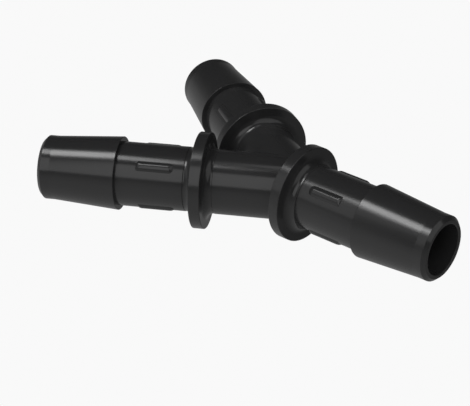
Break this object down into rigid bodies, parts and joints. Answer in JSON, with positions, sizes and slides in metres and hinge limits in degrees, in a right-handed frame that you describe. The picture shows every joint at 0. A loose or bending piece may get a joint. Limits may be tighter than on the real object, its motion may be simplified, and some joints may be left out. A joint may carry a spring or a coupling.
{
  "type": "barbed y hose connector",
  "caption": "Y-shaped hose connector moulded in black plastic: a straight inlet and two outlets 60 degrees apart, each with a stop collar, a ribbed stem and a long tapered barb.",
  "frame": {"origin": "the point where the three arms' axes meet, which is also on the inlet bore's axis", "axes": "+X out along the inlet, +Z square to the plane of the three axes, and the outlets lie 30 degrees to each side of -X"},
  "size_m": [0.0808, 0.0598, 0.019],
  "materials": {
    "moulded_plastic": "black, semi-gloss as moulded"
  },
  "bodies": {
    "root": {"junction": "moulded_plastic", "inlet_collar": "moulded_plastic", "inlet_stem": "moulded_plastic", "inlet_barb": "moulded_plastic", "inlet_grip_rib_1": "moulded_plastic", "inlet_grip_rib_2": "moulded_plastic", "inlet_grip_rib_3": "moulded_plastic", "inlet_grip_rib_4": "moulded_plastic", "left_outlet_collar": "moulded_plastic", "left_outlet_stem": "moulded_plastic", "left_outlet_barb": "moulded_plastic", "left_outlet_grip_rib_1": "moulded_plastic", "left_outlet_grip_rib_2": "moulded_plastic", "left_outlet_grip_rib_3": "moulded_plastic", "left_outlet_grip_rib_4": "moulded_plastic", "right_outlet_collar": "moulded_plastic", "right_outlet_stem": "moulded_plastic", "right_outlet_barb": "moulded_plastic", "right_outlet_grip_rib_1": "moulded_plastic", "right_outlet_grip_rib_2": "moulded_plastic", "right_outlet_grip_rib_3": "moulded_plastic", "right_outlet_grip_rib_4": "moulded_plastic"}
  },
  "joints": []
}
